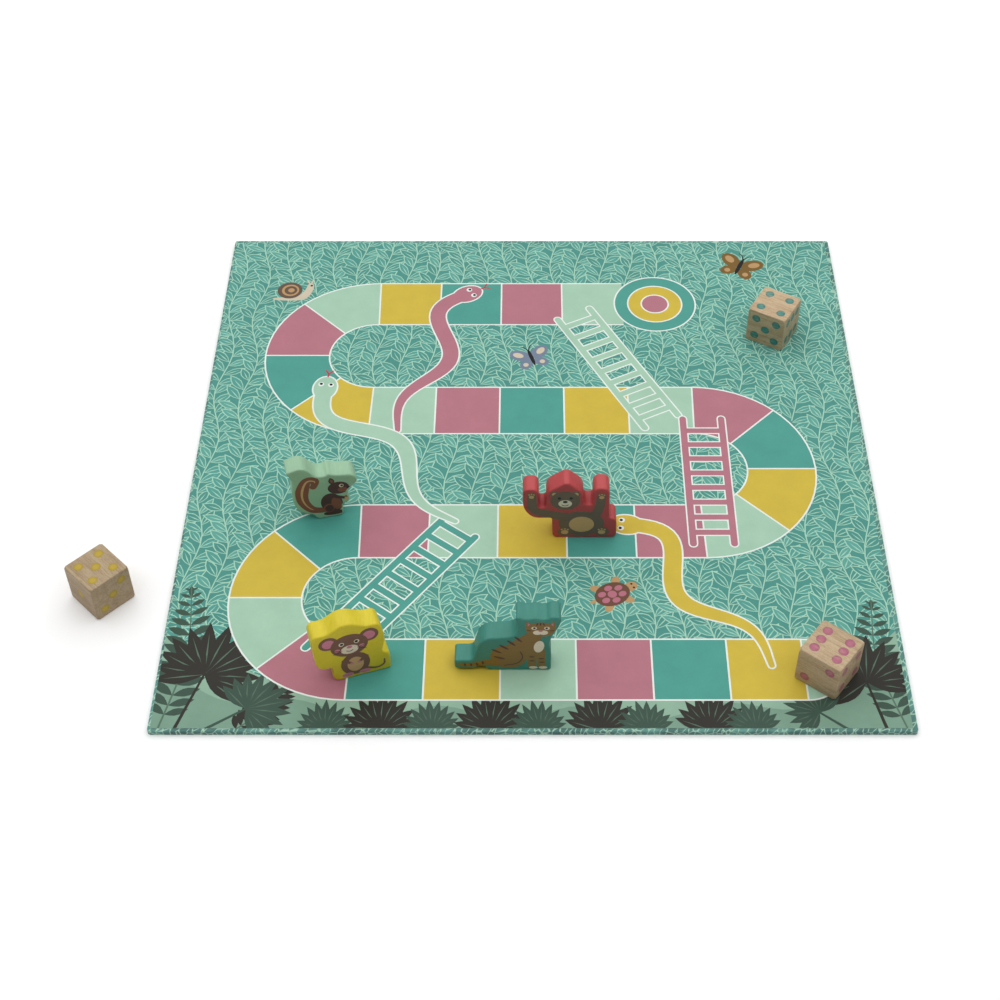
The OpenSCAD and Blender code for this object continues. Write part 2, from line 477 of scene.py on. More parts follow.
def half_turn(side, y_low):
    """Points round a half turn at the left (-1) or right (1) end of two rows, after the first one."""
    count = CELLS_PER_TURN * POINTS_PER_CELL
    points = []
    for i in range(count):
        angle = math.pi * ((i + 1) / count - 0.5)
        x = side * (TURN_PLACE + TURN_RADIUS * math.cos(angle))
        points.append((x, y_low + TURN_RADIUS * (1 + math.sin(angle))))
    return points


def track_line():
    """Middle line of the track, in the order of play."""
    low, second, third, top = ROW_PLACES
    points = [(START_PLACE, low)]
    points += row(START_PLACE, -TURN_PLACE, low, 6)
    points += half_turn(-1, low)
    points += row(-TURN_PLACE, TURN_PLACE, second, 5)
    points += half_turn(1, second)
    points += row(TURN_PLACE, -TURN_PLACE, third, 5)
    points += half_turn(-1, third)
    points += row(-TURN_PLACE, FINISH_PLACE, top, 4)
    return points


TRACK = track_line()


def from_track(point):
    """Distance from a place to the middle line of the track."""
    return min(math.dist(point, place) for place in TRACK)


def track_layers():
    """White ground, coloured cells, the round start and the ringed finish."""
    start = (START_PLACE, ROW_PLACES[0])
    finish = (FINISH_PLACE + FINISH_RADIUS - FINISH_OVERLAP, ROW_PLACES[3])
    left, right = beside(TRACK, [TRACK_HALF + TRACK_LINE] * len(TRACK))
    layers = [
        ("paper_white", disc(start, TRACK_HALF + TRACK_LINE, 48)),
        ("paper_white", right + left[::-1]),
        ("paper_white", disc(finish, FINISH_RADIUS + TRACK_LINE, 56)),
        ("track_mint", disc(start, TRACK_HALF, 48)),
    ]
    left, right = beside(TRACK, [TRACK_HALF] * len(TRACK))
    for cell, first in enumerate(range(0, len(TRACK) - 1, POINTS_PER_CELL)):
        last = first + POINTS_PER_CELL
        edge = right[first : last + 1] + left[first : last + 1][::-1]
        layers.append((TRACK_INKS[cell % len(TRACK_INKS)], edge))
    for first in range(0, len(TRACK) - 1, POINTS_PER_CELL):
        layers.append(("paper_white", ribbon([left[first], right[first]], TRACK_LINE, 2)))
    for step, ink in enumerate(("track_teal", "track_mustard", "track_pink")):
        radius = FINISH_RADIUS * (1 - FINISH_RING_STEP * step)
        layers.append(("paper_white", disc(finish, radius + TRACK_LINE, 56)))
        layers.append((ink, disc(finish, radius, 56)))
    return layers


# Vines: spacing of the stems and of the leaves on them, how the stems sway, the width of the lines, and
# the least and most that a leaf turns from its stem, its length and its width
VINE_SPACING = 13.0
LEAF_STEP = 6.8
VINE_SWAY = 3.0
VINE_WAVE = 64
VINE_LINE = 0.6
LEAF_TURN_DEG = (38, 58)
LEAF_LENGTH = (10.5, 13.5)
LEAF_WIDTH = (4.2, 5.4)
LEAF_RIB_SHARE = 0.72
LEAF_INKS = ("leaf_mid", "leaf_light", "leaf_ground", "leaf_mid")


def vine_stem(column, y):
    """Place of a stem at this height of the sheet."""
    middle = SHEET_LOW.x + VINE_SPACING * (column - 0.6)
    return (middle + VINE_SWAY * math.sin(2 * math.pi * y / VINE_WAVE + 0.7 * column), y)


def vine_leaf(base, heading, side, draw):
    """Outlined leaf with a rib on the left (1) or right (-1) of a stem, or nothing under the track."""
    angle = heading + side * math.radians(draw.uniform(*LEAF_TURN_DEG))
    length = draw.uniform(*LEAF_LENGTH)
    width = draw.uniform(*LEAF_WIDTH)
    ink = draw.choice(LEAF_INKS)
    foot = (base[0], base[1] + side * LEAF_STEP * 0.2)
    tip = ahead_of(foot, angle, length)
    if max(from_track(foot), from_track(tip)) < TRACK_HALF - 1:
        return []
    inner_foot = ahead_of(foot, angle, 0.6)
    inner_tip = ahead_of(tip, angle, -1.0)
    rib_end = ahead_of(foot, angle, LEAF_RIB_SHARE * length)
    return [
        ("leaf_line", leaf(foot, tip, width, 4)),
        (ink, leaf(inner_foot, inner_tip, width - 1.0, 4)),
        ("leaf_line", leaf(foot, rib_end, VINE_LINE, 2)),
    ]


def vine_layers():
    """Trailing vines with paired leaves over the whole ground, apart from what the track hides."""
    draw = random.Random(4)
    columns = int((SHEET_HIGH.x - SHEET_LOW.x) / VINE_SPACING) + 3
    count = int((SHEET_HIGH.y - SHEET_LOW.y) / LEAF_STEP) + 3
    layers = []
    for column in range(columns):
        for i in range(count):
            y = SHEET_LOW.y + LEAF_STEP * (i - 1)
            base = vine_stem(column, y)
            ahead = vine_stem(column, y + 1)
            heading = math.atan2(ahead[1] - base[1], ahead[0] - base[0])
            for side in (-1, 1):
                layers += vine_leaf(base, heading, side, draw)
            if i + 1 < count and from_track(base) > TRACK_HALF - 2:
                next_base = vine_stem(column, y + LEAF_STEP)
                layers.append(("leaf_line", ribbon([base, next_base], VINE_LINE, 2)))
    return layers


def fern_layers(base, tip, bend, leaflet, ink):
    """Fern frond: a bent stem with paired leaflets that shorten towards the tip."""
    along = Vector(tip) - Vector(base)
    side = Vector((-along.y, along.x)).normalized() * bend
    middle = Vector(base) + along * 0.5 + side
    stem = smooth([tuple(base), tuple(middle), tuple(tip)], 8)
    layers = []
    for i, point in enumerate(stem[2:-1], start=2):
        ahead = stem[i + 1]
        heading = math.atan2(ahead[1] - point[1], ahead[0] - point[0])
        length = leaflet * math.sin(math.pi * (0.2 + 0.76 * i / (len(stem) - 1)))
        for turn in (-1, 1):
            angle = heading + turn * math.radians(62)
            layers.append((ink, leaf(point, ahead_of(point, angle, length), 0.36 * length)))
    layers.append((ink, leaf(stem[-3], tip, 0.2 * leaflet)))
    layers.append(("plant_rib", ribbon(stem, (0.9, 0.7, 0.4), 2)))
    return layers


def fan_layers(root, hub, reach, spread_deg, count, ink):
    """Fan palm: a stem from its root to the hub, and pointed leaflets that spread from there."""
    layers = [(ink, ribbon([root, hub], (1.6, 1.3, 1.0), 4))]
    lean = math.degrees(math.atan2(hub[1] - root[1], hub[0] - root[0]))
    for i in range(count):
        turn = i / (count - 1) - 0.5
        angle = math.radians(lean + spread_deg * turn)
        length = reach * (1 - 0.5 * abs(turn))
        layers.append((ink, leaf(hub, ahead_of(hub, angle, length), 0.24 * reach, 6)))
        layers.append(("plant_rib", leaf(hub, ahead_of(hub, angle, 0.8 * length), 0.025 * reach, 2)))
    return layers


# Ferns: root and tip from the middle of the near edge, bend of the stem, longest leaflet and ink
FERNS = (
    ((-158, 0), (-154, 78), -5.0, 13.0, "plant_green"),
    ((-128, -3), (-104, 30), -4.0, 10.0, "plant_dark"),
    ((158, 0), (152, 70), 5.0, 12.0, "plant_green"),
)

# Palms: root and hub from the middle of the near edge, reach, spread in degrees, leaflets and ink
FANS = (
    ((-152, -3), (-142, 28), 30.0, 230, 13, "plant_dark"),
    ((-142, -3), (-122, 10), 22.0, 200, 11, "plant_green"),
    ((150, -3), (144, 24), 27.0, 230, 13, "plant_dark"),
    ((136, -3), (122, 8), 17.0, 200, 11, "plant_green"),
)

# Row of low tufts between the palms
TUFT_COUNT = 9
TUFT_FIRST_X = -88
TUFT_ROW_LENGTH = 184


def near_edge(place):
    """Place on the sheet, from one that is measured from the middle of its near edge."""
    return (place[0], SHEET_LOW.y + place[1])


def hill(ink, base, wave, rise, steps=60):
    """Ground with a wavy crest that rises towards both corners, down past the near edge."""
    left, right = SHEET_LOW.x, SHEET_HIGH.x
    crest = []
    for i in range(steps + 1):
        height = base + wave * math.sin(i * 0.55 + base) + rise * abs(2 * i / steps - 1) ** 4
        crest.append(near_edge((left + (right - left) * i / steps, height)))
    return (ink, crest + [near_edge((right, -5)), near_edge((left, -5))])


def ground_layers():
    """Pale ground along the near edge, with ferns, palms and tufts growing from it."""
    layers = [hill("band_mint", 17.5, 2.0, 34.0), hill("hill_mint", 8.0, 3.5, 22.0)]
    for root, tip, bend, leaflet, ink in FERNS:
        layers += fern_layers(near_edge(root), near_edge(tip), bend, leaflet, ink)
    for root, hub, reach, spread_deg, count, ink in FANS:
        layers += fan_layers(near_edge(root), near_edge(hub), reach, spread_deg, count, ink)
    for i in range(TUFT_COUNT):
        x = TUFT_FIRST_X + TUFT_ROW_LENGTH * i / (TUFT_COUNT - 1)
        hub = (x + 2 * math.sin(3 * i), -1)
        reach, ink = (21.0, "plant_dark") if i % 2 else (16.0, "plant_green")
        layers += fan_layers(near_edge((x, -6)), near_edge(hub), reach, 170, 11, ink)
    return layers


def ladder_layers(foot, top, ink, width=19.0, rail=3.2, pitch=9.5, line=0.7):
    """Ladder: a white outline, two rails and evenly spaced rungs."""
    foot, top = Vector(foot), Vector(top)
    along = (top - foot).normalized()
    side = Vector((-along.y, along.x)) * width / 2
    bars = [(foot - side, top - side), (foot + side, top + side)]
    count = int((top - foot).length / pitch)
    for i in range(count):
        middle = foot + along * pitch * (i + 0.75)
        bars.append((middle - side, middle + side))
    layers = []
    for ink_name, extra in (("paper_white", 2 * line), (ink, 0.0)):
        layers += [(ink_name, ribbon([tuple(a), tuple(b)], rail + extra)) for a, b in bars]
    return layers


def snake_layers(tail, head, waves, sway, ink, width=8.0, line=0.8, steps=44):
    """Wavy snake: a white outline, a tapering body, a round head, two eyes and a tongue."""
    tail, head = Vector(tail), Vector(head)
    along = head - tail
    side = Vector((-along.y, along.x)).normalized()
    tail_width, head_half_length, head_half_width = 2.5, 8.0, 5.8
    spine = []
    for i in range(steps + 1):
        s = i / steps
        offset = sway * math.sin(2 * math.pi * waves * s) * (0.4 + 0.6 * s)
        spine.append(tuple(tail + along * s + side * offset))
    heading = Vector(spine[-1]) - Vector(spine[-3])
    angle = math.degrees(math.atan2(heading.y, heading.x))
    ahead = heading.normalized()
    across = Vector((-ahead.y, ahead.x))
    nose = Vector(spine[-1]) + ahead * 6.5
    rim_width = width + 2 * line
    layers = [("paper_white", ellipse(spine[-1], head_half_length + line, head_half_width + line, angle))]
    layers.append(("paper_white", ribbon(spine, (tail_width + 2 * line, rim_width, rim_width))))
    for turn in (-1, 1):
        fork = nose + ahead * 6.0 + across * 1.8 * turn
        tongue = [tuple(nose), tuple(nose + ahead * 3.6), tuple(fork)]
        layers.append(("tongue_red", ribbon(tongue, 0.9, 3)))
    layers.append((ink, ribbon(spine, (tail_width, width, width))))
    layers.append((ink, ellipse(spine[-1], head_half_length, head_half_width, angle)))
    for turn in (-1, 1):
        eye = Vector(spine[-1]) + ahead * 2.4 + across * 2.5 * turn
        layers.append(("paper_white", disc(tuple(eye), 1.5, 14)))
        layers.append(("ink_black", disc(tuple(eye + ahead * 0.3), 0.8, 12)))
    return layers


def placed(layers, place, turn_deg=0.0, size=1.0):
    """A small drawing, scaled, turned and moved to its place."""
    moved = []
    for ink, polygon in layers:
        corners = [rotated((x * size, y * size), math.radians(turn_deg)) for x, y in polygon]
        moved.append((ink, [(x + place[0], y + place[1]) for x, y in corners]))
    return moved


def butterfly(wing, spot):
    """Butterfly seen from above."""
    layers = []
    for side in (-1, 1):
        layers.append((wing, ellipse((side * 5.2, 3.4), 5.6, 3.8, side * 38)))
        layers.append((wing, ellipse((side * 4.0, -3.6), 4.0, 3.0, side * -40)))
        layers.append((spot, ellipse((side * 6.0, 4.0), 2.8, 1.8, side * 38, 18)))
        layers.append((spot, disc((side * 4.4, -3.9), 1.4, 14)))
        feeler = smooth([(0, 6), (side * 1.6, 8.6), (side * 3, 9.6)], 4)
        layers.append(("ink_black", ribbon(feeler, 0.5, 2)))
    layers.append(("ink_black", ellipse((0, 0.6), 1.0, 6.2)))
    return layers


def snail(shell, stripe, flesh):
    """Snail with a ringed shell."""
    foot = smooth([(-9, -5), (-2, -5.6), (6, -5), (9.5, 0), (10.5, 3.5)], 6)
    layers = [(flesh, ribbon(foot, (1.5, 4.4, 3.6)))]
    for side in (-1, 1):
        layers.append((flesh, ribbon([(10.5, 4.5), (10.5 + side * 1.6, 8.0)], 0.8, 4)))
    for radius, ink in ((6.6, shell), (4.6, stripe), (3.4, shell), (1.7, stripe)):
        layers.append((ink, disc((-0.6 + (6.6 - radius) * 0.15, 1.0), radius)))
    layers.append(("ink_black", disc((11.0, 3.6), 0.7, 12)))
    return layers


def tortoise(shell, patch, flesh):
    """Tortoise seen from above."""
    layers = [(flesh, ellipse((9.4, 0), 3.4, 2.6)), (flesh, leaf((-7, 0), (-12, 0), 2.0))]
    for x in (-5, 5):
        for y in (-1, 1):
            layers.append((flesh, ellipse((x, y * 6.0), 2.8, 1.9, y * x * 9)))
    layers.append((shell, ellipse((0, 0), 8.4, 6.6)))
    for i in range(6):
        angle = math.pi * (i + 0.5) / 3
        place = (4.9 * math.cos(angle), 3.8 * math.sin(angle))
        layers.append((patch, ellipse(place, 1.9, 1.5, 0, 14)))
    layers.append((patch, disc((0, 0), 2.1, 18)))
    for y in (-1, 1):
        layers.append(("ink_black", disc((10.6, y * 1.2), 0.55, 12)))
    return layers


def figure_layers():
    """Ladders, snakes and small creatures over the track."""
    layers = []
    layers += ladder_layers((64, 22), (22, 102), "track_mint")
    layers += ladder_layers((-92, -124), (-34, -48), "track_teal")
    layers += ladder_layers((84, -58), (84, 24), "track_pink")
    layers += snake_layers((-66, 16), (-34, 118), 1.5, 11.0, "track_pink")
    layers += snake_layers((104, -128), (44, -46), 1.5, -12.0, "track_mustard")
    layers += snake_layers((-36, -44), (-104, 46), 1.5, 12.0, "track_mint")
    layers += placed(butterfly("ochre", "tan"), (112, 140), -24, 1.15)
    layers += placed(butterfly("slate", "cream"), (0, 68), 18, 1.0)
    layers += placed(snail("bark_brown", "tan", "cream"), (-128, 120), 6, 1.0)
    layers += placed(tortoise("cocoa", "rose", "tan"), (36, -88), 28, 1.0)
    return layers


# Where the print and the plain faces start in the texture map for the bake, and the share each takes
PRINT_MAP = (0.005, 0.97)
PLAIN_MAP = (0.985, 0.01)

# Tiles of one ink that lie this flat to each other, in radians, are joined
FLAT_ANGLE = 0.001


def add_bake_map(data, top_faces):
    """Texture map for the bake: the print takes nearly all of it, the plain faces one corner."""
    bake_map = data.loops.layers.uv.new("OFBake")
    size = (SHEET_HIGH - SHEET_LOW) * MM
    for face in data.faces:
        start, share = PRINT_MAP if face in top_faces else PLAIN_MAP
        for loop in face.loops:
            across = (loop.vert.co.x - SHEET_LOW.x * MM) / size.x
            away = (loop.vert.co.y - SHEET_LOW.y * MM) / size.y
            loop[bake_map].uv = (start + share * across, start + share * away)


def printed_face():
    """The face sheet, tiled by its print, with thin edges and a plain underside."""
    outline = [
        (SHEET_LOW.x, SHEET_LOW.y),
        (SHEET_HIGH.x, SHEET_LOW.y),
        (SHEET_HIGH.x, SHEET_HIGH.y),
        (SHEET_LOW.x, SHEET_HIGH.y),
    ]
    layers = vine_layers() + ground_layers() + track_layers() + figure_layers()
    points, tiles = partition(outline, layers)
    ground, plain = "leaf_ground", "paper_white"
    names = [ground, plain] + [name for name in INKS if name not in (ground, plain)]
    data = bmesh.new()
    corners = [data.verts.new((p.x * MM, p.y * MM, SHEET_HIGH.z * MM)) for p in points]
    for triangle, ink in tiles:
        face = data.faces.new([corners[i] for i in triangle])
        face.material_index = names.index(ink or ground)
    bmesh.ops.delete(data, geom=[v for v in data.verts if not v.link_faces], context="VERTS")
    bmesh.ops.dissolve_limit(
        data, angle_limit=FLAT_ANGLE, verts=data.verts, edges=data.edges, delimit={"MATERIAL"}
    )
    bmesh.ops.triangulate(data, faces=data.faces)
    top_faces = set(data.faces)
    rim = [e for e in data.edges if e.is_boundary]
    walls = bmesh.ops.extrude_edge_only(data, edges=rim)["geom"]
    for vertex in [g for g in walls if isinstance(g, bmesh.types.BMVert)]:
        vertex.co.z = SHEET_LOW.z * MM
    bmesh.ops.contextual_create(data, geom=[e for e in data.edges if e.is_boundary])
    for face in set(data.faces) - top_faces:
        face.material_index = names.index(plain)
    bmesh.ops.recalc_face_normals(data, faces=data.faces)
    add_bake_map(data, top_faces)
    piece = new_piece("printed_face", data, "board", "printed_paper", "face_sheet")
    for name in names:
        piece.data.materials.append(printed_paper("print_" + name, INKS[name]))


# The playing pieces: rounding of their edges, spacing of the points round them, and how near to the
# front plane a corner of the front lies, in millimetres

EDGE_ROUNDING = 0.8
ROUNDING_STEPS = 4
OUTLINE_STEP = 0.55
FRONT_REACH = 0.01


def front_outline(node):
    """Outline of a block's front, the directions right and out, how far out it is, and the depth."""
    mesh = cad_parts[node].data
    out = max((p for p in mesh.polygons if p.normal.y < -0.5), key=lambda p: p.area).normal.copy()
    right = Vector((-out.y, out.x, 0)).normalized()
    reach = [v.co.dot(out) / MM for v in mesh.vertices]
    on_front = [r > max(reach) - FRONT_REACH for r in reach]
    front_faces = [p for p in mesh.polygons if all(on_front[i] for i in p.vertices)]
    sides = set()
    for polygon in front_faces:
        places = [mesh.vertices[i].co / MM for i in polygon.vertices]
        for a, b in zip(places, places[1:] + places[:1]):
            sides.add(tuple(tuple(round(c, 3) for c in end) for end in (a, b)))
    follows = {a: b for a, b in sides if (b, a) not in sides}
    start = min(follows)
    loop = [start]
    while follows[loop[-1]] != start:
        loop.append(follows[loop[-1]])
    flat = [(Vector(p).dot(right), p[2]) for p in loop]
    return flat, right, out, max(reach), max(reach) - min(reach)


def resampled(loop, step):
    """The closed outline with its points spread evenly."""
    ends = list(zip(loop, loop[1:] + loop[:1]))
    lengths = [math.dist(a, b) for a, b in ends]
    count = int(sum(lengths) / step)
    pitch = sum(lengths) / count
    points, travelled, wanted = [], 0.0, 0.0
    for (a, b), length in zip(ends, lengths):
        while wanted < travelled + length and len(points) < count:
            s = (wanted - travelled) / length
            points.append((a[0] + (b[0] - a[0]) * s, a[1] + (b[1] - a[1]) * s))
            wanted += pitch
        travelled += length
    return anticlockwise(points)


def inward(loop):
    """Directions into the outline at each point, evened out along it."""
    count = len(loop)
    raw = []
    for i in range(count):
        a, b = loop[i - 1], loop[(i + 1) % count]
        along = Vector((b[0] - a[0], b[1] - a[1])).normalized()
        raw.append(Vector((-along.y, along.x)))
    return [(raw[i - 1] + raw[i] * 2 + raw[(i + 1) % count]).normalized() for i in range(count)]


def sew(data):
    """Split each open edge where an open corner lies on it, and weld the corners."""
    open_edges = [e for e in data.edges if e.is_boundary]
    open_corners = {v for e in open_edges for v in e.verts}
    for edge in open_edges:
        start, end = edge.verts
        first, last = start.co.copy(), end.co.copy()
        shares = []
        for corner in open_corners - {start, end}:
            near, share = geometry.intersect_point_line(corner.co, first, last)
            if 0 < share < 1 and (near - corner.co).length < WELD_REACH * MM:
                shares.append(share)
        done = 0.0
        for share in sorted(shares):
            _, start = bmesh.utils.edge_split(edge, start, (share - done) / (1 - done))
            edge = next(e for e in start.link_edges if end in e.verts)
            done = share
    bmesh.ops.remove_doubles(data, verts=data.verts, dist=WELD_REACH * MM)


def playing_piece(node, drawing):
    """Painted block with rounded edges and a printed front."""
    loop, right, out, front, depth = front_outline(node)
    loop = resampled(loop, OUTLINE_STEP)
    directions = inward(loop)
    left_end = min(p[0] for p in loop)
    base = min(p[1] for p in loop)
    count = len(loop)
    data = bmesh.new()

    def vertex(x, z, reach):
        place = right * x + out * reach
        return data.verts.new((place.x * MM, place.y * MM, z * MM))

    def shrunk(inset):
        return [(p[0] + d.x * inset, p[1] + d.y * inset) for p, d in zip(loop, directions)]

    profile = []
    for k in range(ROUNDING_STEPS + 1):
        angle = math.pi / 2 * k / ROUNDING_STEPS
        profile.append((EDGE_ROUNDING * (1 - math.sin(angle)), EDGE_ROUNDING * (1 - math.cos(angle))))
    profile += [(inset, depth - back) for inset, back in profile[::-1]]
    rings = []
    for inset, back in profile:
        rings.append([vertex(x, z, front - back) for x, z in shrunk(inset)])
    for near, far in zip(rings, rings[1:]):
        for i in range(count):
            j = (i + 1) % count
            face = data.faces.new([near[i], far[i], far[j], near[j]])
            face.smooth = True
    data.faces.new(rings[-1][::-1])

    layers = placed(drawing, (left_end, base))
    points, tiles = partition(shrunk(EDGE_ROUNDING), layers)
    names = sorted({ink for ink, _ in layers})
    cap = [vertex(p.x, p.y, front) for p in points]
    for triangle, ink in tiles:
        face = data.faces.new([cap[i] for i in triangle])
        face.material_index = names.index(ink) + 1 if ink else 0
    bmesh.ops.delete(data, geom=[v for v in data.verts if not v.link_faces], context="VERTS")
    bmesh.ops.remove_doubles(data, verts=data.verts, dist=WELD_REACH * MM)
    sew(data)
    bmesh.ops.recalc_face_normals(data, faces=data.faces)
    paint = node.replace("_piece", "_paint")
    piece = new_piece(node.replace("_piece", "_block"), data, node, paint, node)
    piece.data.materials.append(painted_wood(paint, PAINTS[node]))
    for name in names:
        piece.data.materials.append(printed_wood(node + "_" + name, INKS[name]))


def squirrel():
    """Squirrel with a curled tail, holding a nut."""
    tail = smooth([(17, 5.5), (10, 7), (6.2, 13), (6, 20), (8.6, 26), (12.2, 25.6), (11.4, 22.2)], 8)
    return [
        ("rust", ribbon(tail, (3.0, 6.4, 3.4))),
        ("tan", ribbon(tail[8:-6], (0.4, 1.2, 0.5), 3)),
        ("maroon", ellipse((19, 9.6), 5.0, 6.6, 12)),
        ("maroon", ellipse((19.6, 2.9), 5.0, 1.5)),
        ("rust", ellipse((21.2, 9.0), 2.4, 4.2, 10)),
        ("rust", ellipse((17.4, 6.4), 2.6, 2.9)),
        ("maroon", ellipse((17.6, 6.2), 2.0, 2.3)),
        ("maroon", leaf((20.4, 21.5), (19.4, 26.4), 2.8)),
        ("rust", leaf((20.3, 22.6), (19.6, 25.4), 1.2)),
        ("maroon", ellipse((22.8, 19.0), 5.0, 4.0, -8)),
        ("rust", ellipse((24.6, 17.4), 2.3, 1.6, -8)),
        ("maroon", ribbon([(21.5, 13.2), (25.2, 11.8)], (2.2, 1.8, 1.6))),
        ("tan", ellipse((26.4, 11.4), 1.3, 1.7)),
        ("ochre", ellipse((26.4, 12.6), 1.5, 0.7)),
        ("cream", disc((24.2, 20.2), 1.1, 16)),
        ("ink_black", disc((24.4, 20.2), 0.65, 14)),
        ("ink_black", disc((27.4, 18.4), 0.7, 14)),
    ]


def bear():
    """Sitting bear with its arms up."""
    left_arm = smooth([(21, 14), (11, 16.4), (5, 19.6), (4.0, 28.6)], 8)
    right_arm = smooth([(29, 13), (34, 17.4), (35.8, 28.4)], 8)
    layers = [
        ("bark_brown", ribbon(left_arm, (5.6, 4.8, 4.2))),
        ("bark_brown", ribbon(right_arm, (5.6, 4.8, 4.2))),
        ("bark_brown", ellipse((27, 9.8), 10.5, 8.4)),
        ("tan", ellipse((27, 9.2), 5.8, 5.2)),
    ]
    for x in (14.4, 24.2):
        layers += [("bark_brown", disc((x, 29.4), 2.1)), ("tan", disc((x, 29.4), 1.1, 16))]
    layers += [
        ("bark_brown", ellipse((19.3, 25.2), 6.8, 6.2)),
        ("cream", ellipse((19.3, 23.2), 3.1, 2.4)),
        ("ink_black", ellipse((19.3, 24.4), 1.1, 0.8)),
        ("ink_black", ribbon(smooth([(17.8, 22.4), (19.3, 21.8), (20.8, 22.4)], 5), 0.4, 3)),
    ]
    for x in (16.6, 22.0):
        layers.append(("ink_black", disc((x, 26.8), 0.75, 14)))
    for x, z in ((4.0, 28.2), (35.8, 28.0)):
        layers.append(("tan", ellipse((x, z - 0.6), 1.2, 1.0)))
        for step in (-1, 0, 1):
            layers.append(("tan", disc((x + step * 1.1, z + 1.3 - 0.4 * abs(step)), 0.42, 12)))
    for x in (19.4, 36.4):
        layers += [("bark_brown", ellipse((x, 4.2), 3.4, 3.0)), ("tan", ellipse((x, 3.8), 1.7, 1.4))]
        for step in (-1, 0, 1):
            layers.append(("tan", disc((x + step * 1.4, 6.0 - 0.4 * abs(step)), 0.5, 12)))
    return layers


def mouse():
    """Sitting mouse with round ears."""
    tail = smooth([(22, 4.6), (26.5, 2.8), (29.8, 4.2), (30.2, 7.4)], 6)
    layers = [("cocoa", ribbon(tail, (1.4, 1.1, 0.7)))]
    layers += [("cocoa", ellipse((17.6, 9.2), 6.4, 7.4)), ("tan", ellipse((17.6, 8.8), 3.6, 4.8))]
    for x in (7.0, 24.6):
        layers += [("cocoa", disc((x, 26.4), 4.2)), ("rose", disc((x, 26.2), 2.7))]
    layers += [("cocoa", ellipse((15.8, 22.4), 8.2, 7.2)), ("cream", ellipse((15.8, 19.6), 3.9, 2.8))]
    layers.append(("rose", ellipse((15.8, 21.2), 1.2, 0.9)))
    layers.append(("ink_black", ribbon(smooth([(14.4, 19.0), (15.8, 18.4), (17.2, 19.0)], 5), 0.35, 3)))
    for side in (-1, 1):
        layers.append(("rose", ellipse((15.8 + side * 5.4, 20.6), 1.3, 0.9)))
        layers.append(("cream", disc((15.8 + side * 3.3, 24.0), 1.2, 16)))
        layers.append(("ink_black", disc((15.8 + side * 3.2, 24.0), 0.75, 14)))
        layers.append(("rose", ellipse((17.6 + side * 3.8, 2.6), 2.6, 1.3)))
        arm = [(17.6 + side * 5.0, 12.4), (17.6 + side * 1.8, 10.0)]
        layers.append(("cocoa", ribbon(arm, (2.0, 1.7, 1.4))))
        layers.append(("rose", disc((17.6 + side * 1.6, 9.8), 0.8, 14)))
        for rise in (-0.8, 0.8):
            whisker = [(15.8 + side * 3.4, 19.6 + rise * 0.4), (15.8 + side * 7.2, 19.4 + rise * 1.6)]
            layers.append(("ink_black", ribbon(whisker, 0.3, 2)))
    return layers


def cat():
    """Sitting cat with stripes and its tail along the ground."""
    tail = smooth([(21, 4.6), (14, 5.6), (8, 3.9), (2.6, 4.0)], 7)
    layers = [("ochre", ribbon(tail, (4.4, 2.8, 1.8)))]
    for i in (9, 12, 15, 18):
        layers.append(("maroon", ellipse(tail[i], 0.45, 1.1, 8)))
    layers += [
        ("ochre", ellipse((23.5, 9.6), 8.0, 8.0)),
        ("ochre", ribbon([(26, 12.0), (33.5, 22.5)], (13.0, 11.5, 8.0))),
        ("ochre", ribbon([(33.2, 15), (33.6, 2.4)], (5.0, 3.8, 3.4))),
        ("ochre", ribbon([(37.0, 14), (37.8, 2.4)], (4.0, 3.4, 3.2))),
        ("cream", ellipse((36.4, 16.5), 2.2, 4.0, -8)),
        ("maroon", ribbon(smooth([(21.5, 3.4), (27.0, 5.0), (29.4, 9.0), (28.4, 13.0)], 6), 0.45, 3)),
    ]
    back_stripes = (
        (18.2, 13.4, -32),
        (21.4, 16.2, -40),
        (24.6, 19.0, -46),
        (27.6, 21.6, -50),
        (19.4, 8.8, -20),
    )
    for x, z, turn in back_stripes:
        layers.append(("maroon", ellipse((x, z), 2.6, 0.55, turn)))
    for x, z in ((33.4, 9.4), (33.5, 6.6), (37.5, 8.2), (37.7, 5.6)):
        layers.append(("maroon", ellipse((x, z), 1.2, 0.35)))
    for x in (33.6, 37.8):
        layers.append(("cream", ellipse((x + 0.4, 1.9), 1.9, 0.9)))
    for x, lean in ((32.6, -1.0), (41.4, 1.0)):
        layers.append(("ochre", [(x - 2.2, 29.5), (x + 2.2, 29.5), (x + lean * 1.4, 34.0)]))
        layers.append(("rose", [(x - 1.0, 30.4), (x + 1.0, 30.4), (x + lean * 1.0, 32.8)]))
    layers.append(("ochre", ellipse((37.0, 28.2), 6.2, 4.8)))
    for side in (-1, 1):
        layers.append(("cream", ellipse((37.0 + side * 1.3, 26.2), 1.9, 1.5)))
        layers.append(("cream", ellipse((37.0 + side * 2.7, 29.2), 1.2, 1.0)))
        layers.append(("ink_black", disc((37.0 + side * 2.6, 29.2), 0.6, 14)))
        layers.append(("maroon", ribbon([(37.0 + side * 1.6, 31.2), (37.0 + side * 1.2, 32.4)], 0.6, 3)))
        layers.append(("maroon", ribbon([(37.0 + side * 4.2, 27.4), (37.0 + side * 5.6, 27.8)], 0.5, 3)))
    layers.append(("maroon", ribbon([(37.0, 31.2), (37.0, 32.6)], 0.6, 3)))
    layers.append(("rose", ellipse((37.0, 27.2), 0.9, 0.6)))
    return layers


# The floor, the lights and the camera

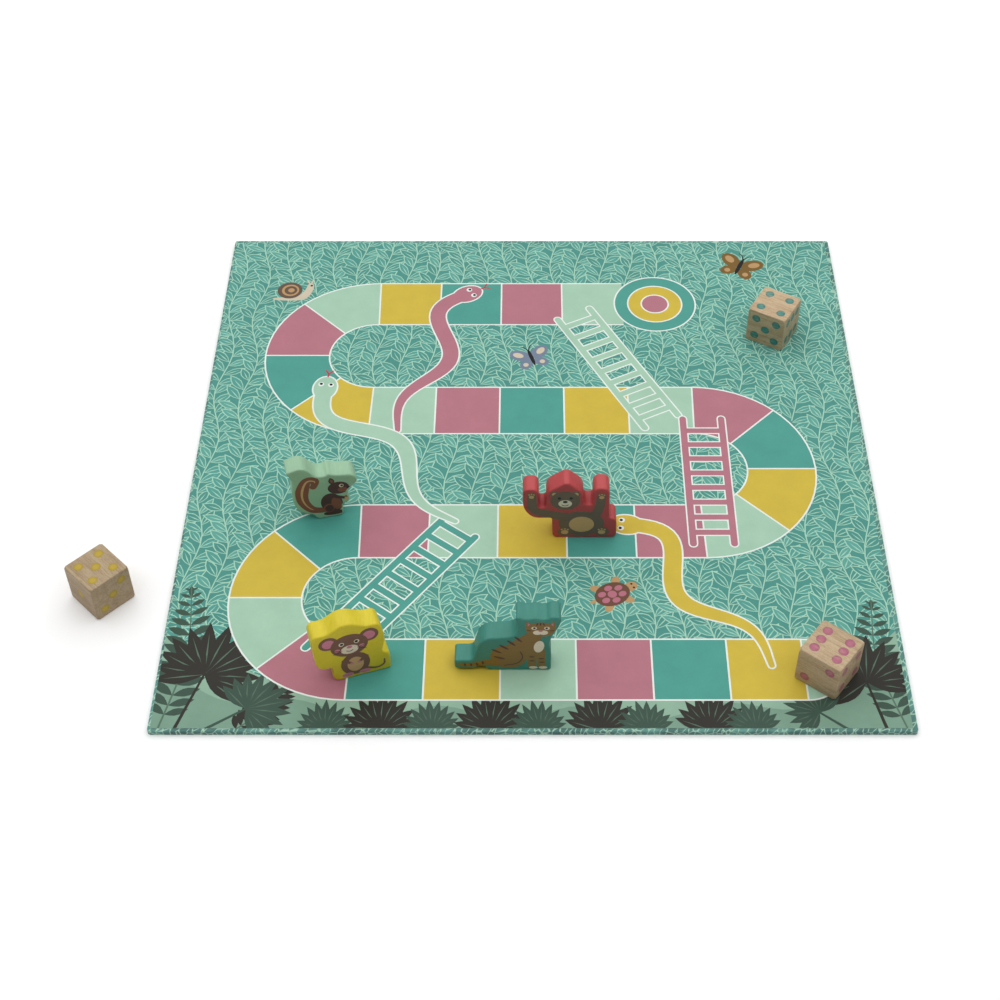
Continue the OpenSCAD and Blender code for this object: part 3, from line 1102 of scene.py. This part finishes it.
def pale_floor():
    """Plain pale table top under the set."""
    bpy.ops.mesh.primitive_plane_add(size=TABLE_SIDE, location=(0, 0, 0))
    floor = bpy.context.object
    floor.name = "table_top"
    shader = Shader("pale_table", 0.75)
    mottle = shader.noise(shader.place(), 14.0, 4.0)
    shader.colour(shader.ramp(mottle, [(0.3, (0.95, 0.95, 0.95, 1)), (0.7, (0.98, 0.98, 0.98, 1))]))
    floor.data.materials.append(shader.material)


def white_surround():
    """Plain white all round the table. It is only seen, and neither lights nor shades the set."""
    bpy.ops.mesh.primitive_uv_sphere_add(segments=48, ring_count=24, radius=SURROUND_RADIUS)
    surround = bpy.context.object
    surround.name = "white_surround"
    surround.visible_diffuse = False
    surround.visible_glossy = False
    surround.visible_shadow = False
    shader = Shader("white_surround", 1.0)
    shader.bsdf.inputs["Base Color"].default_value = (0, 0, 0, 1)
    shader.bsdf.inputs["Emission Color"].default_value = (1, 1, 1, 1)
    shader.bsdf.inputs["Emission Strength"].default_value = 1.0
    surround.data.materials.append(shader.material)


def soft_light(name, place, target, size, power):
    """Square area light that faces its target."""
    data = bpy.data.lights.new(name, "AREA")
    data.shape = "SQUARE"
    data.size = size
    data.energy = power
    light = bpy.data.objects.new(name, data)
    light.location = place
    light.rotation_euler = (Vector(target) - Vector(place)).to_track_quat("-Z", "Y").to_euler()
    bpy.context.scene.collection.objects.link(light)


def studio():
    """Faint even sky, and one very wide soft panel overhead, set back from the camera."""
    world = bpy.data.worlds.new("studio")
    world.use_nodes = True
    sky = world.node_tree.nodes["Background"]
    sky.inputs["Color"].default_value = (1, 1, 1, 1)
    sky.inputs["Strength"].default_value = SKY_STRENGTH
    bpy.context.scene.world = world
    soft_light("overhead_panel", PANEL_PLACE, PANEL_TARGET, PANEL_SIDE, PANEL_POWER_W)
    bpy.context.scene.view_settings.view_transform = "Standard"


def photo_camera():
    """Camera at the photograph's place and angle."""
    data = bpy.data.cameras.new("photo_camera")
    data.sensor_width = SENSOR_WIDTH_MM
    data.lens = SENSOR_WIDTH_MM * FOCAL_LENGTH_PX / PICTURE_WIDTH_PX
    data.shift_x = -AXIS_RIGHT_OF_CENTRE_PX / PICTURE_WIDTH_PX
    data.clip_start = CAMERA_NEAR_LIMIT_MM * MM
    camera = bpy.data.objects.new("photo_camera", data)
    camera.location = Vector(CAMERA_PLACE_MM) * MM
    camera.rotation_euler = Euler((math.radians(90 - CAMERA_PITCH_DEG), 0, 0))
    bpy.context.scene.collection.objects.link(camera)
    bpy.context.scene.camera = camera


def dress_node(node, material):
    """Give a CAD node its finished material."""
    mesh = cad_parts[node].data
    mesh.materials.clear()
    mesh.materials.append(material)


def pip_middles(mesh):
    """Middle of each separate pip in the mesh."""
    data = bmesh.new()
    data.from_mesh(mesh)
    bmesh.ops.remove_doubles(data, verts=data.verts, dist=WELD_REACH * MM)
    middles = []
    waiting = set(data.verts)
    while waiting:
        pip, reached = [], [waiting.pop()]
        while reached:
            vertex = reached.pop()
            pip.append(vertex.co.copy())
            fresh = {edge.other_vert(vertex) for edge in vertex.link_edges} & waiting
            waiting -= fresh
            reached.extend(fresh)
        middles.append(sum(pip, Vector()) / len(pip))
    data.free()
    return middles


def mark_pips(node):
    """Store on each pip where its corners are from its middle, for its stain."""
    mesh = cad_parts[node].data
    middles = pip_middles(mesh)
    offsets = [min((v.co - m for m in middles), key=lambda away: away.length) for v in mesh.vertices]
    radius = max(away.length for away in offsets)
    places = mesh.attributes.new(PIP_PLACE, "FLOAT_VECTOR", "POINT").data
    for place, away in zip(places, offsets):
        place.vector = away / radius


def main():
    """Stage the set, and dress or replace each of its nodes."""
    photo_camera()
    studio()
    pale_floor()
    white_surround()
    dress_node("greyboard_core", grey_board("grey_board"))
    dress_node("cover_wrap", cover_paper("cover_paper"))
    printed_face()
    playing_piece("mint_piece", squirrel())
    playing_piece("red_piece", bear())
    playing_piece("yellow_piece", mouse())
    playing_piece("teal_piece", cat())
    # Each die's wood and stain take its factor of painted light and shade from DICE
    for die, (stain, turn_deg, light) in DICE.items():
        dress_node(die, bare_wood(die + "_wood", turn_deg, light))
        mark_pips(die + "_pips")
        dress_node(die + "_pips", stained_wood(die + "_stain", stain, turn_deg, light))


main()
